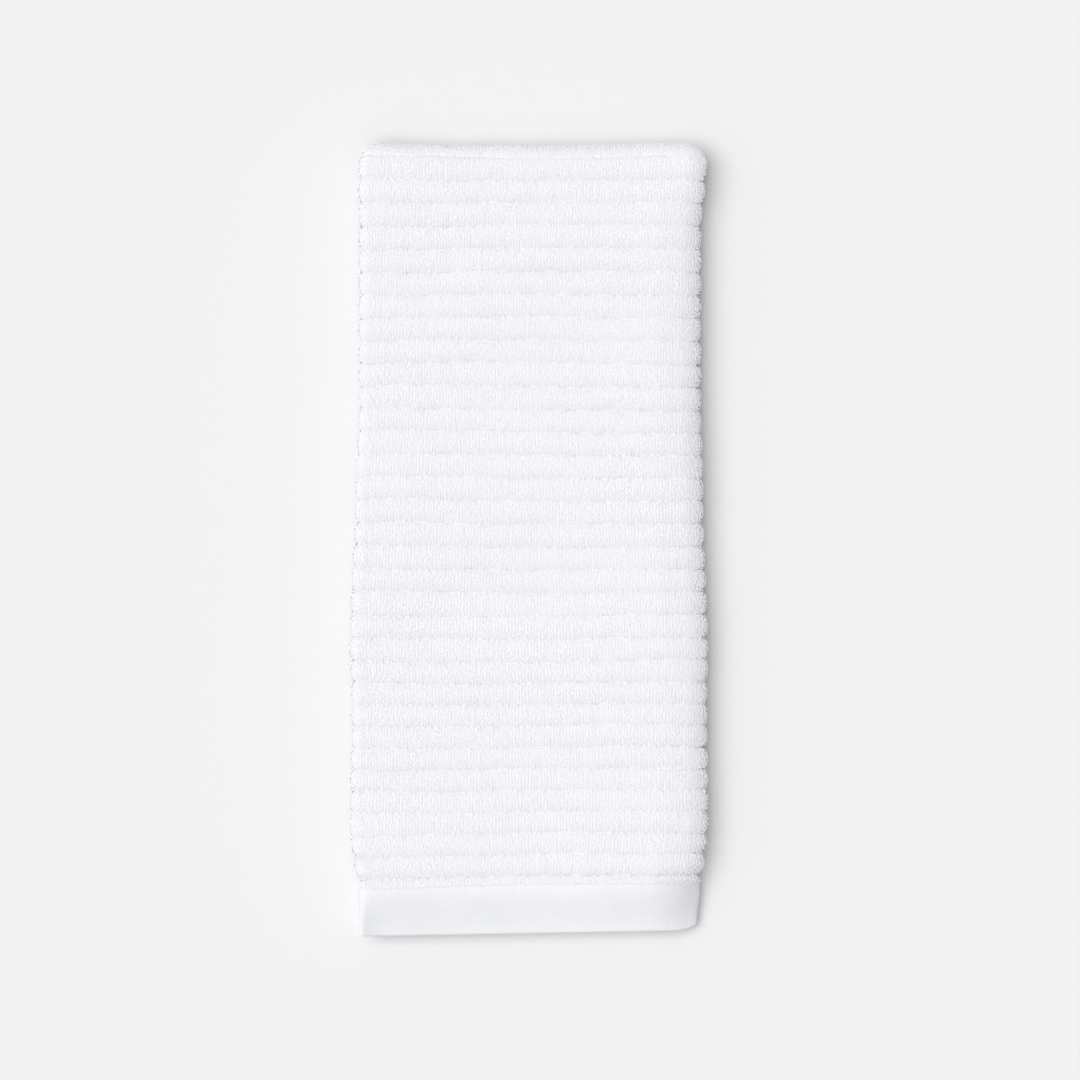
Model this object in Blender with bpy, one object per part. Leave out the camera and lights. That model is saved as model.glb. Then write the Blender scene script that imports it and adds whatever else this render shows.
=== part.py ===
"""A hand towel: one sheet of ribbed terry, folded in thirds along its length and then in half.

Sizes are in millimetres and the mesh is made in metres. +Y points to the fold that lies across the
towel, +Z is up, and the towel lies on z = 0. The folded sheet is one section, drawn in (x, n), that
runs along the towel: over the upper half, around the cross fold and back along the lower half.
n is the distance out from the plane between the two halves.
"""

import math
from collections import namedtuple

import bmesh
import bpy

MM = 0.001

# Cloth
TERRY_THICKNESS = 3.0
BAND_THICKNESS = 1.6
BAND_DEPTH = 23.5
GROOVE_DEPTH = 1.2
EDGE_NOTCH = 1.5

# Layers: from the middle plane to the nearest layer's centre, and from layer to layer
TERRY_FIRST_LAYER = 1.9
TERRY_LAYER_STEP = 3.3
HEM_FIRST_LAYER = 1.4
HEM_LAYER_STEP = 2.3
LAYERS_IN_HALF = 3

# Cross fold and length, measured from the outer edge of the cross fold
FOLD_NEUTRAL = TERRY_FIRST_LAYER + 2 * TERRY_LAYER_STEP
FOLD_RADIUS = FOLD_NEUTRAL + TERRY_THICKNESS / 2
QUARTER_TURN = math.pi / 2 * FOLD_NEUTRAL
UPPER_LENGTH = 379.9
LOWER_SHORTER = 4.0
LOWER_INSET = 0.8

# Ribs, by distance along the outer layer from the top of the cross fold
FIRST_GROOVE = 9.85
RIB_PITCH = 11.0
WIDE_RIBS = 22
TIGHT_PITCH = 10.37
TIGHT_RIBS = 10
LAST_STRIP = 4.3
LOWER_RIBS = 32
GROOVE_WANDER = 0.6

# Points along one rib, as a share of its pitch, with the share of the groove's depth there
UPPER_RIB = ((0.0, 1.0), (0.17, 0.28), (0.5, 0.0), (0.83, 0.28))
TURN_RIB = ((0.0, 1.0), (0.17, 0.28), (0.33, 0.05), (0.5, 0.0), (0.67, 0.05), (0.83, 0.28))
LOWER_RIB = ((0.0, 1.0), (0.2, 0.0), (0.8, 0.0))
BAND_SHARES = (0.25, 0.5, 0.75, 0.93, 1.0)

Edge = namedtuple("Edge", "from_fold left right")
OUTLINE = (
    Edge(0.0, -79.0, 84.4),
    Edge(8.0, -82.1, 86.0),
    Edge(20.0, -82.2, 85.0),
    Edge(40.0, -82.1, 83.0),
    Edge(123.0, -82.1, 83.0),
    Edge(171.0, -84.0, 84.0),
    Edge(243.0, -86.6, 86.4),
    Edge(267.0, -85.6, 85.9),
    Edge(330.0, -86.5, 86.4),
    Edge(345.0, -84.2, 84.8),
    Edge(358.0, -81.7, 82.8),
    Edge(380.0, -81.4, 81.6),
)

# Side folds: how far each one's curve reaches in from its edge, on the terry and at the hem
Reach = namedtuple("Reach", "left right")
TERRY_REACH = Reach(6.0, 11.0)
HEM_REACH = Reach(5.0, 20.0)
RIGHT_FOLD_ANGLES = (-90, -50, -15, 20, 55, 90)
LEFT_FOLD_ANGLES = (90, 45, 0, -45, -90)

# Points across the flat stretches, as shares of each one
INNER_FLAP_SHARES = (0.0, 0.5, 0.93)
FACE_SHARES = (0.25, 0.5, 0.75)
MIDDLE_FLAP_SHARES = (0.5, 1.0)

# The flaps' free edges stop short of the opposite side fold
MIDDLE_FLAP_SHORT = 14.0
INNER_FLAP_SHORT = 6.0
FLAP_WAVE = 1.5
FLAP_WAVE_LENGTH = 160.0

# The cross fold swells a little at the two side folds
Swell = namedtuple("Swell", "x height width")
FOLD_SWELLS = (Swell(-73.0, 1.7, 18.0), Swell(66.0, 1.1, 26.0))
SWELL_FADE = 32.0
HEM_SLANT = 0.018
SLANT_FROM = 300.0
LOOSE_LIFT = 0.45
LIFT_WAVE = (150.0, 210.0)

# The side folds of the upper half sag towards the lower half
Sag = namedtuple("Sag", "left right")
FOLD_SAG = Sag(0.8, 1.4)
LEAST_RISE = 0.2

# The whole stack thins towards its edges, most of all beside the bands
Settle = namedtuple("Settle", "width share")
RIGHT_TERRY_SETTLE = Settle(18.0, 0.10)
RIGHT_BAND_SETTLE = Settle(22.0, 0.36)
LEFT_BAND_SETTLE = Settle(8.0, 0.10)
HEM_SETTLE = Settle(20.0, 0.28)
SETTLE_FROM = 346.0
SETTLE_OVER = 14.0
SETTLE_POWER = 1.45

# The hem's corners are rounded: how far in and how far up, beside the left and right folds
Corner = namedtuple("Corner", "reach rise")
LEFT_CORNER = Corner(3.5, 1.5)
RIGHT_CORNER = Corner(15.0, 2.6)
CORNER_DEPTH = 14.0
CORNER_POWER = 2.5

CLOTH_COLOUR = (0.875, 0.88, 0.905, 1.0)
CLOTH_ROUGHNESS = 0.95

Row = namedtuple("Row", "along groove thickness whole")


def smooth(share):
    """Ease from 0 to 1."""
    share = min(max(share, 0.0), 1.0)
    return share * share * (3 - 2 * share)


def mix(first, second, share):
    """Go from the first value to the second."""
    return first + (second - first) * share


def edges_at(from_fold):
    """Read the outline's left and right edges at a distance from the cross fold."""
    for near, far in zip(OUTLINE, OUTLINE[1:]):
        if from_fold <= far.from_fold:
            share = smooth((from_fold - near.from_fold) / (far.from_fold - near.from_fold))
            return mix(near.left, far.left, share), mix(near.right, far.right, share)
    return OUTLINE[-1].left, OUTLINE[-1].right


def run_of(along):
    """Length of flat cloth between the cross fold's curve and a row."""
    return max(abs(along) - QUARTER_TURN, 0.0)


def from_fold_of(along):
    """Distance of a row from the outer edge of the cross fold, seen from above."""
    if abs(along) < QUARTER_TURN:
        return FOLD_RADIUS * (1 - math.cos(along / FOLD_NEUTRAL))
    return FOLD_RADIUS + run_of(along)


def terry_share(along):
    """Share of the full terry height, which falls to the hem's over the woven band."""
    return smooth((UPPER_LENGTH - from_fold_of(along)) / BAND_DEPTH)


def layer_heights(along):
    """Distances of the three layers from the middle plane, inner flap first."""
    share = terry_share(along)
    first = mix(HEM_FIRST_LAYER, TERRY_FIRST_LAYER, share)
    step = mix(HEM_LAYER_STEP, TERRY_LAYER_STEP, share)
    return [first + step * layer for layer in range(LAYERS_IN_HALF)]


def middle_height(along):
    """Height of the plane between the halves above the surface that the towel lies on."""
    lowest = mix(BAND_THICKNESS, TERRY_THICKNESS, terry_share(along)) / 2
    return lowest + layer_heights(along)[-1]


def upper_grooves():
    """Grooves of the upper half, from the cross fold to the band."""
    wide = [FIRST_GROOVE + RIB_PITCH * rib for rib in range(WIDE_RIBS + 1)]
    tight = [wide[-1] + TIGHT_PITCH * (rib + 1) for rib in range(TIGHT_RIBS)]
    return wide + tight


def lower_grooves():
    """Grooves of the lower half, from its band to the cross fold."""
    last = -(run_length(LOWER_SHORTER) - BAND_DEPTH - LAST_STRIP)
    first = FIRST_GROOVE - RIB_PITCH
    return [mix(last, first, rib / LOWER_RIBS) for rib in range(LOWER_RIBS + 1)]


def run_length(shorter):
    """Length of the outer layer from the top of the cross fold to a hem."""
    return QUARTER_TURN + UPPER_LENGTH - FOLD_RADIUS - shorter


def rib_rows(start, end, points, whole_first, whole_all):
    """Rows of one rib, from its groove up to the next one."""
    rows = []
    for share, groove in points:
        whole = whole_all or (whole_first and share == 0.0)
        rows.append(Row(mix(start, end, share), groove, TERRY_THICKNESS, whole))
    return rows


def band_rows(terry_end, hem):
    """Rows from the last groove's strip over the band to the hem."""
    way = math.copysign(1.0, hem)
    rows = [
        Row(terry_end - way * LAST_STRIP / 2, 0.0, TERRY_THICKNESS, True),
        Row(terry_end - way * 0.6, 0.25, TERRY_THICKNESS, True),
        Row(terry_end + way * 0.4, 0.0, BAND_THICKNESS, True),
    ]
    for share in BAND_SHARES:
        rows.append(Row(mix(terry_end, hem, share), 0.0, BAND_THICKNESS, True))
    return rows


def towel_rows():
    """All rows, from the lower hem around the cross fold to the upper hem."""
    lower = lower_grooves()
    upper = upper_grooves()
    lower_hem = -run_length(LOWER_SHORTER)
    upper_hem = run_length(0.0)
    rows = list(reversed(band_rows(lower_hem + BAND_DEPTH, lower_hem)))
    for number, (start, end) in enumerate(zip(lower, lower[1:])):
        turning = end > -QUARTER_TURN
        points = TURN_RIB if turning else LOWER_RIB
        rows += rib_rows(start, end, points, number % 2 == 0, turning)
    rows += rib_rows(lower[-1], upper[0], TURN_RIB, True, True)
    for number, (start, end) in enumerate(zip(upper, upper[1:])):
        turning = start < QUARTER_TURN
        points = TURN_RIB if turning else UPPER_RIB
        rows += rib_rows(start, end, points, number % 2 == 0, turning)
    rows.append(Row(upper[-1], 1.0, TERRY_THICKNESS, True))
    return rows + band_rows(upper_hem - BAND_DEPTH, upper_hem)


def fold_curve(centre, reach, height, sag, angles, way):
    """Points of one side fold with their outward normals; way is 1 for right and -1 for left."""
    points = []
    sag = min(sag, height - LEAST_RISE)
    for angle in angles:
        turn = math.radians(angle)
        rise = height + math.copysign(sag, angle)
        x = centre[0] + way * reach * math.cos(turn)
        n = centre[1] - sag + rise * math.sin(turn)
        normal = (way * rise * math.cos(turn), reach * math.sin(turn))
        size = math.hypot(*normal) or 1.0
        points.append((x, n, normal[0] / size, normal[1] / size))
    return points


def section(row):
    """Outer and inner (x, n) points across the folded sheet, from the inner flap's free edge."""
    inner_layer, middle_layer, outer_layer = layer_heights(row.along)
    half = row.thickness / 2
    left, right = edges_at(from_fold_of(row.along))
    if row.along < 0:
        left, right = left + LOWER_INSET, right - LOWER_INSET
    hem = 1 - terry_share(row.along)
    left_reach = mix(TERRY_REACH.left, HEM_REACH.left, hem)
    right_reach = mix(TERRY_REACH.right, HEM_REACH.right, hem)
    sagging = smooth(row.along / SWELL_FADE)
    wave = FLAP_WAVE * math.sin(2 * math.pi * row.along / FLAP_WAVE_LENGTH)

    outer, inner = [], []
    turn_in = right - right_reach
    inner_edge = left + INNER_FLAP_SHORT + wave
    for share in INNER_FLAP_SHARES:
        x = mix(inner_edge, turn_in, share)
        outer.append((x, inner_layer - half))
        inner.append((x, inner_layer + half))

    centre = (turn_in, (outer_layer + inner_layer) / 2)
    height = (outer_layer - inner_layer) / 2
    sag = FOLD_SAG.right * sagging
    outside = fold_curve(centre, right_reach, height + half, sag, RIGHT_FOLD_ANGLES, 1)
    inside = fold_curve(centre, right_reach - row.thickness, height - half, sag, RIGHT_FOLD_ANGLES, 1)
    outer += [cut_groove(point, row.groove) for point in outside]
    inner += [(x, n) for x, n, _, _ in inside]

    turn_out = left + left_reach
    for share in FACE_SHARES:
        x = mix(turn_in, turn_out, share)
        outer.append(cut_groove((x, outer_layer + half, 0.0, 1.0), row.groove))
        inner.append((x, outer_layer - half))

    centre = (turn_out, (outer_layer + middle_layer) / 2)
    height = (outer_layer - middle_layer) / 2
    sag = FOLD_SAG.left * sagging
    outside = fold_curve(centre, left_reach, height + half, sag, LEFT_FOLD_ANGLES, -1)
    inside = fold_curve(centre, left_reach - row.thickness, height - half, sag, LEFT_FOLD_ANGLES, -1)
    outer += [cut_groove(point, row.groove) for point in outside]
    inner += [(x, n) for x, n, _, _ in inside]

    middle_edge = right - MIDDLE_FLAP_SHORT + wave
    for share in MIDDLE_FLAP_SHARES:
        x = mix(turn_out, middle_edge, share)
        outer.append((x, middle_layer - half))
        inner.append((x, middle_layer + half))
    return outer, inner


def cut_groove(point, groove):
    """Move a point on the outer face in by the groove, most at the side folds' edges."""
    x, n, normal_x, normal_n = point
    facing_out = smooth((normal_n + 1) / 0.9)
    depth = groove * facing_out * mix(GROOVE_DEPTH, EDGE_NOTCH, abs(normal_x))
    return x - normal_x * depth, n - normal_n * depth


def loose_lift(x, run):
    """How far the upper half rises off the lower one, as it lies a little uneven."""
    across, down = LIFT_WAVE
    wave = math.sin(2 * math.pi * x / across + 0.7) * math.sin(2 * math.pi * run / down + 0.4)
    return LOOSE_LIFT * (0.5 + 0.5 * wave) * smooth(run / SWELL_FADE)


def nearness(distance, width, power):
    """1 at an edge and past it, falling to 0 at a width in from it."""
    return min(max(1 - distance / width, 0.0), 1.0) ** power


def settled(x, along):
    """Share of the stack's height that is left near its edges, where the cloth lies down."""
    from_fold = from_fold_of(along)
    left, right = edges_at(from_fold)
    hem = smooth((from_fold - SETTLE_FROM) / SETTLE_OVER)
    width = mix(RIGHT_TERRY_SETTLE.width, RIGHT_BAND_SETTLE.width, hem)
    share = mix(RIGHT_TERRY_SETTLE.share, RIGHT_BAND_SETTLE.share, hem)
    at_right = nearness(right - x, width, SETTLE_POWER)
    at_left = hem * nearness(x - left, LEFT_BAND_SETTLE.width, SETTLE_POWER)
    at_hem = nearness(UPPER_LENGTH - from_fold, HEM_SETTLE.width, SETTLE_POWER)
    beside = share * at_right + LEFT_BAND_SETTLE.share * at_left
    in_front = HEM_SETTLE.share * at_hem * (1 - at_right) * (1 - at_left)
    return 1 - smooth(run_of(along) / SWELL_FADE) * (beside + in_front)


def corner_rise(x, along):
    """How far the hem draws back at its two rounded corners."""
    from_fold = from_fold_of(along)
    left, right = edges_at(from_fold)
    at_hem = smooth(1 - (UPPER_LENGTH - from_fold) / CORNER_DEPTH)
    at_left = nearness(x - left, LEFT_CORNER.reach, CORNER_POWER)
    at_right = nearness(right - x, RIGHT_CORNER.reach, CORNER_POWER)
    return at_hem * (LEFT_CORNER.rise * at_left + RIGHT_CORNER.rise * at_right)


def place(x, n, along):
    """Put a section point in space, around the cross fold or flat on either side of it."""
    run = run_of(along)
    middle = middle_height(along)
    turn = min(max(along / FOLD_NEUTRAL, -math.pi / 2), math.pi / 2)
    if along > 0:
        n += loose_lift(x, run)
    y = n * math.cos(turn) - run
    z = (middle + n * math.sin(turn)) * settled(x, along)
    for swell in FOLD_SWELLS:
        near = math.exp(-((x - swell.x) / swell.width) ** 2)
        y += swell.height * near * (1 - smooth(run / SWELL_FADE))
    y += HEM_SLANT * x * smooth((from_fold_of(along) - SLANT_FROM) / (UPPER_LENGTH - SLANT_FROM))
    y += corner_rise(x, along)
    y += GROOVE_WANDER * math.sin(x / 31 + along / 47) * smooth(run / SWELL_FADE) * terry_share(along)
    return x, y, z


def towel_points(rows):
    """Points of each row around the section's outline, outer face first and then the inner face."""
    points = []
    for row in rows:
        outer, inner = section(row)
        points.append([place(x, n, row.along) for x, n in outer + inner[::-1]])
    return points


def joining_faces(first, second):
    """Faces between two columns of the mesh; None marks a row that a column leaves out."""
    kept = [row for row in range(len(first)) if first[row] is not None and second[row] is not None]
    faces = []
    for start, end in zip(kept, kept[1:]):
        bare_between = first[end - 1] is None and second[end - 1] is None
        if bare_between or end == start + 1:
            faces.append((first[start], first[end], second[end], second[start]))
            continue
        fuller, other = (first, second) if second[end - 1] is None else (second, first)
        turn = (start + end) // 2
        for row in range(start, end):
            hub = other[start] if row < turn else other[end]
            faces.append((fuller[row], fuller[row + 1], hub))
        faces.append((other[start], fuller[turn], other[end]))
    return faces


def build_towel():
    """Make the folded towel's mesh and object."""
    rows = towel_rows()
    points = towel_points(rows)
    stations = len(points[0]) // 2
    ribbed = range(len(INNER_FLAP_SHARES), stations - len(MIDDLE_FLAP_SHARES))

    every_x = [x for line in points for x, _, _ in line]
    every_y = [y for line in points for _, y, _ in line]
    centre_x = (min(every_x) + max(every_x)) / 2
    centre_y = (min(every_y) + max(every_y)) / 2

    model = bmesh.new()
    columns = []
    for column in range(2 * stations):
        verts = []
        for row, line in zip(rows, points):
            if column in ribbed or row.whole:
                x, y, z = line[column]
                verts.append(model.verts.new(((x - centre_x) * MM, (y - centre_y) * MM, z * MM)))
            else:
                verts.append(None)
        columns.append(verts)

    for first, second in zip(columns, columns[1:] + columns[:1]):
        for face in joining_faces(first, second):
            model.faces.new(face)
    for row in (0, -1):
        for station in range(stations - 1):
            across = 2 * stations - 1 - station
            corners = [columns[place_at][row] for place_at in (station, station + 1, across - 1, across)]
            model.faces.new(corners)
    bmesh.ops.recalc_face_normals(model, faces=model.faces)

    mesh = bpy.data.meshes.new("towel")
    model.to_mesh(mesh)
    model.free()
    mesh.shade_smooth()
    towel = bpy.data.objects.new("towel", mesh)
    bpy.context.scene.collection.objects.link(towel)
    return towel


def cloth_material():
    """White cotton terry."""
    material = bpy.data.materials.new("terry_cotton")
    material.use_nodes = True
    shader = material.node_tree.nodes["Principled BSDF"]
    shader.inputs["Base Color"].default_value = CLOTH_COLOUR
    shader.inputs["Roughness"].default_value = CLOTH_ROUGHNESS
    shader.inputs["Metallic"].default_value = 0.0
    return material


def main():
    """Clear the scene and build the towel."""
    for item in list(bpy.data.objects):
        bpy.data.objects.remove(item, do_unlink=True)
    towel = build_towel()
    towel.data.materials.append(cloth_material())


if __name__ == "__main__":
    main()
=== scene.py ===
"""A white hand towel of ribbed terry with flat-woven bands, folded and laid on a pale floor.

The cloth is one sheet, folded in thirds along its length and then in half. Its section is drawn in
(x, n) millimetres, where n is the distance out from the plane between the two halves, and runs along
the towel: over the upper half, around the cross fold at +Y and back along the lower half. "along" is
the distance on the outermost layer from the top of the cross fold, below zero on the lower half, and
"across" is the distance over the outer face from the foot of the right side fold.
"""

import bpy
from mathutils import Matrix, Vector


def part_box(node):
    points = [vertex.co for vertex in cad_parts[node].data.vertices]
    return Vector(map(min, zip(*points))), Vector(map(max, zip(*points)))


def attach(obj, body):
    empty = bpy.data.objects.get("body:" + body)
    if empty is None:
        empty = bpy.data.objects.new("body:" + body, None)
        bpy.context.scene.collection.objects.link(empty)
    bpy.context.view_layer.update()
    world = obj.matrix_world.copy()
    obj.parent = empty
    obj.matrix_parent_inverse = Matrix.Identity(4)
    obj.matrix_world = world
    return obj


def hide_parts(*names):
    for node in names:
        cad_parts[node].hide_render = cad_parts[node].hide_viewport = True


bl_info = {
    "name": "Hand Towel",
    "version": (1, 0, 0),
    "blender": (4, 5, 0),
    "location": "View3D > Sidebar > Towel",
    "description": "Makes a folded hand towel of ribbed terry with its pile, woven bands and stage",
    "category": "Object",
}

import math
from collections import namedtuple

import bpy
import numpy as np
from bpy.props import FloatProperty, FloatVectorProperty, IntProperty, PointerProperty
from bpy.types import Operator, Panel, PropertyGroup

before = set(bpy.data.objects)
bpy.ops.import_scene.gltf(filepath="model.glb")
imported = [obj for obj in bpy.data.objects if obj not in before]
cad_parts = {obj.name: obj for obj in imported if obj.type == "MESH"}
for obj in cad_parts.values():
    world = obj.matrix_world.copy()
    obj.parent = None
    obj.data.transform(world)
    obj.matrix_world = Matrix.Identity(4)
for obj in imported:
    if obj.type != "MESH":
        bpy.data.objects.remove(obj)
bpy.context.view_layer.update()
towel_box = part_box("towel")

MM = 0.001
NODE = "towel"
BODY = "root"

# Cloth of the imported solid, in millimetres
TERRY_THICKNESS = 3.0
BAND_THICKNESS = 1.6
BAND_DEPTH = 23.5
TERRY_FIRST_LAYER = 1.9
TERRY_LAYER_STEP = 3.3
HEM_FIRST_LAYER = 1.4
HEM_LAYER_STEP = 2.3

# Cross fold and length
FOLD_NEUTRAL = TERRY_FIRST_LAYER + 2 * TERRY_LAYER_STEP
FOLD_RADIUS = FOLD_NEUTRAL + TERRY_THICKNESS / 2
QUARTER_TURN = math.pi / 2 * FOLD_NEUTRAL
UPPER_LENGTH = 379.9
LOWER_SHORTER = 4.0
LOWER_INSET = 0.8
UPPER_HEM = QUARTER_TURN + UPPER_LENGTH - FOLD_RADIUS
LOWER_HEM = -(UPPER_HEM - LOWER_SHORTER)
UPPER_TERRY_END = UPPER_HEM - BAND_DEPTH
LOWER_TERRY_END = LOWER_HEM + BAND_DEPTH

# Grooves between the ribs: where each numbered groove lies
Groove = namedtuple("Groove", "along number")
GROOVES = (
    Groove(LOWER_TERRY_END, -33.4),
    Groove(LOWER_TERRY_END + 4.3, -33.0),
    Groove(-1.15, -1.0),
    Groove(9.85, 0.0),
    Groove(251.85, 22.0),
    Groove(355.55, 32.0),
    Groove(UPPER_TERRY_END, 32.42),
)
RIB_PITCH = 11.0
LAST_GROOVES = (-33.0, 32.0)
# Where the crest lies in a rib, and how much of the rib's height is its broad round, with the power
# of that round and of the narrow grooves on either side
RIB_CREST = 0.46
RIB_ROUND = 0.74
ROUND_POWER = 2.2
NARROW_POWER = 20
# Share of a rib's width that carries no pile, at its groove
BARE_GROOVE = 0.05
# Uneven grooves: how far each wave strays, how long it is over x, how it changes from rib to rib
Unevenness = namedtuple("Unevenness", "height length number_scale seed")
GROOVE_WANDERS = (Unevenness(0.62, 21.0, 0.9, 3), Unevenness(0.36, 7.0, 1.3, 4))
GROOVE_DEPTHS = (Unevenness(0.28, 26.0, 0.8, 6), Unevenness(0.14, 6.0, 1.0, 7))
BAND_WANDER = 0.35
WANDER_GROWS_OVER = 2.2
FOLD_GROOVE_DEPTH = 0.3
FOLD_GROOVE_FADE = 22.0
LAST_GROOVE_EXTRA = 0.4
LAST_GROOVE_WIDTH = 0.35
# How much deeper the grooves notch the side folds than the face
Notch = namedtuple("Notch", "left right")
SIDE_NOTCH = Notch(0.3, 0.5)
# Share of the pile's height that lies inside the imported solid's face on the upper half
PILE_SUNK = 0.5
# Rows of the ground cloth: places in each rib, then beyond the last grooves, in millimetres from the
# last groove, from the band's edge and from the hem
UPPER_ROWS = (0.0, 0.035, 0.1, 0.21, 0.33, 0.46, 0.6, 0.73, 0.84, 0.92, 0.97)
LOWER_ROWS = (0.0, 0.06, 0.17, 0.4, 0.65, 0.85, 0.95)
LOWER_RIBS_END = -2.0
STRIP_ROWS = (0.05, 0.4, 1.0, 2.0, 3.0, 3.8)
BAND_EDGE_ROWS = (-0.7, -0.45, -0.2, 0.05, 0.3, 0.6)
HEM_ROWS = (0.0, 0.08, 0.25, 0.5, 0.85, 1.6, 3.2, 5.5, 8.0, 11.0, 14.0, 17.0, 20.0, 22.3)

# Outline seen from above, by distance from the outer edge of the cross fold
Edge = namedtuple("Edge", "from_fold left right")
OUTLINE = (
    Edge(0.0, -79.0, 84.4),
    Edge(8.0, -82.1, 86.0),
    Edge(20.0, -82.2, 85.0),
    Edge(40.0, -82.1, 83.0),
    Edge(123.0, -82.1, 83.0),
    Edge(171.0, -84.0, 84.0),
    Edge(243.0, -86.6, 86.4),
    Edge(267.0, -85.6, 85.9),
    Edge(330.0, -86.5, 86.4),
    Edge(345.0, -84.2, 84.8),
    Edge(358.0, -81.7, 82.8),
    Edge(380.0, -81.4, 81.6),
)

# Side folds: how far each curve reaches in from its edge, on the terry and at the hem
Reach = namedtuple("Reach", "left right")
TERRY_REACH = Reach(6.0, 11.0)
HEM_REACH = Reach(2.6, 20.0)
MIDDLE_FLAP_SHORT = 14.0
INNER_FLAP_SHORT = 6.0
FLAP_WAVE = 1.5
FLAP_WAVE_LENGTH = 160.0
# Columns of the hidden flaps, from the free edge in and over the flat part
TIP_COLUMNS = (0.0, 0.12, 0.4, 0.9)
FLAT_COLUMNS = (0.12, 0.3, 0.5, 0.7, 0.88)
FLAP_FULLNESS = 0.96
FACE_FULLNESS = 0.98
FLAP_TIP_RADIUS = 0.9
HEM_TIP_RADIUS = 0.85
THINNEST_TIP = 0.14

# The side folds of the upper half sag towards the lower half
Sag = namedtuple("Sag", "left right")
FOLD_SAG = Sag(0.8, 1.4)
LEAST_RISE = 0.2

# The whole stack thins towards its right edge and its hem, most of all beside the bands; over a
# short width the left rim of the bands keeps its height
Settle = namedtuple("Settle", "width share")
RIGHT_TERRY_SETTLE = Settle(20.0, 0.14)
RIGHT_BAND_SETTLE = Settle(22.0, 0.50)
HEM_SETTLE = Settle(20.0, 0.28)
LEFT_RIM_KEPT = 8.0
SETTLE_FROM = 346.0
SETTLE_OVER = 14.0
SETTLE_POWER = 1.45

# The cross fold swells a little at the two side folds
Swell = namedtuple("Swell", "x height width")
FOLD_SWELLS = (Swell(-73.0, 1.7, 18.0), Swell(66.0, 1.1, 26.0))
SWELL_FADE = 32.0
HEM_SLANT = 0.018
SLANT_FROM = 300.0

# The hem's corners are rounded: how far in and how far up, beside the left and right folds
Corner = namedtuple("Corner", "reach rise")
LEFT_CORNER = Corner(3.5, 1.5)
RIGHT_CORNER = Corner(15.0, 2.6)
CORNER_DEPTH = 14.0
CORNER_POWER = 2.5

# The ribs stray a little along the towel, and the upper half lies a little uneven on the lower one
ROW_WANDER = 0.6
LOOSE_LIFT = 0.45
LIFT_WAVE = (150.0, 210.0)

# Soft troughs and ridges of the upper face: a centre, a half length along the
# crease, a half width over it, the crease's turn from +X and its height
Crease = namedtuple("Crease", "x along half_length half_width turn height")
CREASES = (
    Crease(-87.0, 369.0, 14.0, 8.0, 90.0, 0.9),
    Crease(92.0, 370.0, 20.0, 14.0, 90.0, -3.0),
    Crease(-52.0, 366.0, 16.0, 4.5, 12.0, -0.35),
    Crease(12.0, 368.0, 26.0, 6.0, -4.0, 0.22),
    Crease(52.0, 371.0, 15.0, 5.0, 8.0, -0.25),
    Crease(-20.0, 60.0, 45.0, 16.0, 8.0, -0.30),
    Crease(38.0, 148.0, 52.0, 18.0, -14.0, 0.28),
    Crease(-36.0, 232.0, 48.0, 20.0, 18.0, -0.30),
    Crease(24.0, 312.0, 60.0, 15.0, -6.0, -0.28),
)

# Path of a pile loop over its two feet: forward in half loop lengths, up in loop heights
LoopPoint = namedtuple("LoopPoint", "forward up slope")
LOOP_PATH = (
    LoopPoint(-1.0, -0.2, -1.0),
    LoopPoint(-0.55, 0.8, -0.5),
    LoopPoint(0.45, 0.9, 0.4),
    LoopPoint(1.0, -0.2, 1.0),
)
# How the loops differ: least and most of a full size, or a middle and a spread
HEIGHT_SPREAD = (0.88, 1.16)
YARN_SPREAD = (0.85, 1.2)
FOOT_SPREAD = (0.8, 1.2)
LOOP_TURN = 0.95
LOOP_LEAN = (0.22, 0.18)
LOOP_TILT = 0.18
OFF_LINE = 0.15
OFF_STEP = 0.22
# Random seeds, counted on from the user's own, for where the loops stand and for their shapes
Seeds = namedtuple("Seeds", "grid loops loop_step")
UPPER_SEEDS = Seeds(0, 0, 10)
LOWER_SEEDS = Seeds(60, 80, 1)
LEAST_LOOP_TOP = 0.15
LEAST_HEIGHT = 0.02
# How far from the feet of the right and left side folds the pile begins
PILE_FROM_RIGHT = 3.5
PILE_FROM_LEFT = 1.5
# How far the loops' shading follows their own round yarn; 0 is the cloth's own surface
SOFT_NORMAL = 0.5
# How far loops on the sides are shaded as if they leaned up, since light passes through soft yarn
LIFTED_NORMAL = 1.5
ARC_STEPS = 64

# Finishes of the three cottons, bump distance in metres and threads to a metre
Finish = namedtuple("Finish", "roughness sheen bump_strength bump_distance threads")
PILE_FINISH = Finish(0.95, 0.12, 0.2, 0.0001, None)
GROUND_FINISH = Finish(0.97, 0.05, 0.5, 0.0002, 1100.0)
BAND_FINISH = Finish(0.9, 0.06, 0.9, 0.00028, 4400.0)
WEFT_STRETCH = (80.0, 1050.0, 1.0)
WARP_STRETCH = (950.0, 70.0, 1.0)
OVER_UNDER_SHARE = 0.06

# The light straight above, and the pale room: brighter upwards and to the left
OVERHEAD_WIDTH = math.radians(12)
OVERHEAD_TILT = math.radians(2)
OVERHEAD_LEAD = math.radians(3)
ROOM_DARKEST = 0.12
ROOM_FULL_AT = 0.75
ROOM_LEVEL = 0.35
ROOM_UPWARDS = 0.55
ROOM_LEFTWARDS = -0.45
FLOOR_HALF = 24.0


def smooth(share):
    """Ease from 0 to 1."""
    share = np.clip(share, 0.0, 1.0)
    return share * share * (3 - 2 * share)


def mix(first, second, share):
    """Go from the first value to the second."""
    return first + (second - first) * share


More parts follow.
